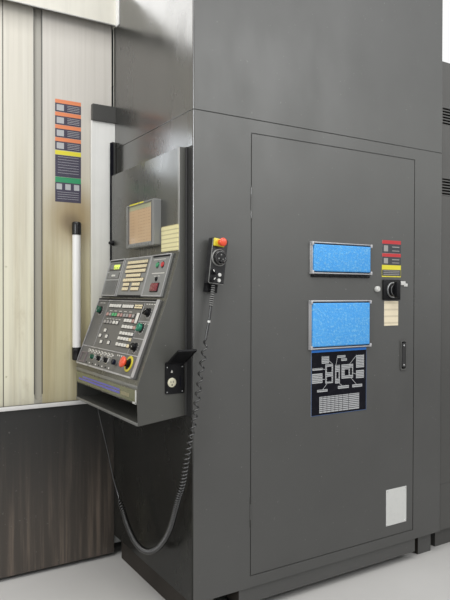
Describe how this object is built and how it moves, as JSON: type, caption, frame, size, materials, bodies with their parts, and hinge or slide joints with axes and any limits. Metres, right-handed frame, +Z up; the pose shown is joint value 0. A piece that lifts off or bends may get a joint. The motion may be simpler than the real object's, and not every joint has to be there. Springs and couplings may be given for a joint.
{
  "type": "cnc machining center",
  "caption": "Horizontal machining centre with sliding front door, standing electrical cabinet, hinged operator console and a hand pendant on a coiled cord.",
  "frame": {"origin": "on the floor, below the middle of the machine's outline seen from above", "axes": "+X to the right along the front, +Y into the machine, +Z up"},
  "size_m": [3.8, 3.012, 2.8],
  "materials": {
    "dark_grey_paint": "semi-gloss",
    "cream_paint": "satin, stained",
    "black_paint": "satin",
    "white_paint": "satin",
    "machine_iron": "painted and ground",
    "ground_steel": "ground",
    "black_rubber": "matte",
    "black_plastic": "matte",
    "grey_plastic": "satin",
    "key_plastic": "satin",
    "red_plastic": "gloss",
    "yellow_plastic": "gloss",
    "green_plastic": "gloss",
    "screen_glass": "lit screen",
    "window_glass": "clear",
    "filter_foam": "open foam",
    "light_steel": "satin",
    "plate_white": "satin",
    "note_paper": "matte"
  },
  "bodies": {
    "machine": {"machine_base": "machine_iron", "leveling_feet": "black_paint", "enclosure_walls": "cream_paint", "roof_panel": "cream_paint", "front_apron": "black_paint", "door_header": "cream_paint", "jamb_cover": "cream_paint", "jamb_trim": "black_paint", "right_guard": "dark_grey_paint", "cabinet_shell": "dark_grey_paint", "cabinet_top_box": "dark_grey_paint", "cabinet_plinth": "dark_grey_paint", "hinge_strip": "black_rubber", "cabinet_backplate": "light_steel", "pendant_bracket": "black_plastic", "pendant_body": "black_plastic", "cord_lead": "black_rubber", "cord_coil": "black_rubber"},
    "front_door": {"front_door": "cream_paint", "door_window": "window_glass", "door_handle": "white_paint"},
    "cabinet_door": {"cabinet_door": "dark_grey_paint", "filter_frames": "light_steel", "filter_pads": "filter_foam", "door_plates": "plate_white", "breaker_plate": "black_plastic"},
    "breaker_handle": {"breaker_handle": "black_plastic"},
    "door_latch": {"door_latch": "black_paint"},
    "lock_knob": {"lock_knob": "grey_plastic"},
    "console": {"console_case": "dark_grey_paint", "monitor_housing": "grey_plastic", "monitor_screen": "screen_glass", "keyboard_panel": "grey_plastic", "operation_panel": "dark_grey_paint", "keypad_keys": "key_plastic", "e_stop_ring": "yellow_plastic", "outlet_plate": "black_plastic", "note_pad": "note_paper"},
    "e_stop_button": {"e_stop_button": "red_plastic"},
    "feed_knob": {"feed_knob": "green_plastic"},
    "spindle_knob": {"spindle_knob": "black_plastic"},
    "rapid_knob": {"rapid_knob": "green_plastic"},
    "mode_knob": {"mode_knob": "black_plastic"},
    "selector_a": {"selector_a": "green_plastic"},
    "selector_b": {"selector_b": "black_plastic"},
    "selector_c": {"selector_c": "black_plastic"},
    "power_on_button": {"power_on_button": "green_plastic"},
    "power_off_button": {"power_off_button": "red_plastic"},
    "outlet_flap": {"outlet_flap": "black_plastic"},
    "console_latch": {"console_latch": "black_plastic"},
    "pendant_estop": {"pendant_estop": "red_plastic"},
    "pendant_dial": {"pendant_dial": "black_plastic"},
    "pendant_axis_knob": {"pendant_axis_knob": "black_plastic"},
    "pendant_step_knob": {"pendant_step_knob": "black_plastic"},
    "column": {"column": "machine_iron"},
    "spindle_head": {"spindle_head": "machine_iron"},
    "spindle": {"spindle": "ground_steel"},
    "table_saddle": {"table_saddle": "machine_iron"},
    "rotary_pallet": {"rotary_pallet": "ground_steel"},
    "tool_magazine": {"tool_magazine": "machine_iron"}
  },
  "joints": [
    {"name": "front_door_slide", "type": "slide", "parent": "machine", "child": "front_door", "axis": [-1, 0, 0], "range_m": [0, 0.83]},
    {"name": "cabinet_door_hinge", "type": "hinge", "parent": "machine", "child": "cabinet_door", "pos_m": [0.256, -1.4265, 1], "axis": [0, 0, -1], "range_deg": [0, 110]},
    {"name": "breaker_turn", "type": "hinge", "parent": "cabinet_door", "child": "breaker_handle", "pos_m": [1.017, -1.443, 1.266], "axis": [0, 1, 0], "range_deg": [0, 90]},
    {"name": "door_latch_lift", "type": "hinge", "parent": "cabinet_door", "child": "door_latch", "pos_m": [1.097, -1.429, 1.021], "axis": [-1, 0, 0], "range_deg": [0, 45]},
    {"name": "lock_turn", "type": "hinge", "parent": "cabinet_door", "child": "lock_knob", "pos_m": [0.927, -1.434, 1.27], "axis": [0, 1, 0], "range_deg": [0, 90]},
    {"name": "console_swing", "type": "hinge", "parent": "machine", "child": "console", "pos_m": [-0.005, -1.383, 1.28], "axis": [0, 0, 1], "range_deg": [0, 15]},
    {"name": "e_stop_push", "type": "slide", "parent": "console", "child": "e_stop_button", "axis": [0.9354, 0, -0.3535], "range_m": [0, 0.005], "stiffness_N_per_m": 600},
    {"name": "feed_knob_turn", "type": "hinge", "parent": "console", "child": "feed_knob", "pos_m": [-0.11343, -0.766, 1.17511], "axis": [-0.9354, 0, 0.3535], "range_deg": [-135, 135]},
    {"name": "spindle_knob_turn", "type": "hinge", "parent": "console", "child": "spindle_knob", "pos_m": [-0.11237, -1.274, 1.17792], "axis": [-0.9354, 0, 0.3535], "range_deg": [-135, 135]},
    {"name": "rapid_knob_turn", "type": "hinge", "parent": "console", "child": "rapid_knob", "pos_m": [-0.13464, -1.258, 1.11899], "axis": [-0.9354, 0, 0.3535], "range_deg": [-135, 135]},
    {"name": "mode_knob_turn", "type": "hinge", "parent": "console", "child": "mode_knob", "pos_m": [-0.1615, -1.261, 1.04789], "axis": [-0.9354, 0, 0.3535], "range_deg": [-135, 135]},
    {"name": "selector_a_turn", "type": "hinge", "parent": "console", "child": "selector_a", "pos_m": [-0.18766, -0.878, 0.97867], "axis": [-0.9354, 0, 0.3535], "range_deg": [-45, 45]},
    {"name": "selector_b_turn", "type": "hinge", "parent": "console", "child": "selector_b", "pos_m": [-0.18766, -0.958, 0.97867], "axis": [-0.9354, 0, 0.3535], "range_deg": [-45, 45]},
    {"name": "selector_c_turn", "type": "hinge", "parent": "console", "child": "selector_c", "pos_m": [-0.18766, -1.038, 0.97867], "axis": [-0.9354, 0, 0.3535], "range_deg": [-45, 45]},
    {"name": "power_on_push", "type": "slide", "parent": "console", "child": "power_on_button", "axis": [0.9601, 0, -0.2798], "range_m": [0, 0.003], "stiffness_N_per_m": 400},
    {"name": "power_off_push", "type": "slide", "parent": "console", "child": "power_off_button", "axis": [0.9601, 0, -0.2798], "range_m": [0, 0.003], "stiffness_N_per_m": 400},
    {"name": "outlet_flap_hinge", "type": "hinge", "parent": "console", "child": "outlet_flap", "pos_m": [-0.051, -1.388, 0.993], "axis": [1, 0, 0], "range_deg": [-45, 120]},
    {"name": "console_latch_turn", "type": "hinge", "parent": "console", "child": "console_latch", "pos_m": [-0.042, -0.718, 1.479], "axis": [-1, 0, 0], "range_deg": [0, 90]},
    {"name": "pendant_estop_push", "type": "slide", "parent": "machine", "child": "pendant_estop", "axis": [0, 1, 0], "range_m": [0, 0.004], "stiffness_N_per_m": 500},
    {"name": "pendant_dial_turn", "type": "hinge", "parent": "machine", "child": "pendant_dial", "pos_m": [0.07983, -1.488, 1.3794], "axis": [0, -1, 0], "continuous": true},
    {"name": "pendant_axis_turn", "type": "hinge", "parent": "machine", "child": "pendant_axis_knob", "pos_m": [0.05427, -1.481, 1.32712], "axis": [0, -1, 0], "range_deg": [-75, 75]},
    {"name": "pendant_step_turn", "type": "hinge", "parent": "machine", "child": "pendant_step_knob", "pos_m": [0.05073, -1.481, 1.29834], "axis": [0, -1, 0], "range_deg": [-45, 45]},
    {"name": "column_feed", "type": "slide", "parent": "machine", "child": "column", "axis": [0, 1, 0], "range_m": [-0.32, 0.32]},
    {"name": "head_feed", "type": "slide", "parent": "column", "child": "spindle_head", "axis": [0, 0, 1], "range_m": [-0.25, 0.6]},
    {"name": "spindle_turn", "type": "hinge", "parent": "spindle_head", "child": "spindle", "pos_m": [0, 0.124, 1.46], "axis": [1, 0, 0], "continuous": true},
    {"name": "saddle_feed", "type": "slide", "parent": "machine", "child": "table_saddle", "axis": [1, 0, 0], "range_m": [-0.2, 0.16]},
    {"name": "pallet_turn", "type": "hinge", "parent": "table_saddle", "child": "rotary_pallet", "pos_m": [-0.65, 0.124, 0.9], "axis": [0, 0, 1], "continuous": true},
    {"name": "magazine_turn", "type": "hinge", "parent": "machine", "child": "tool_magazine", "pos_m": [0.45, 1.246, 1.5], "axis": [1, 0, 0], "continuous": true}
  ]
}
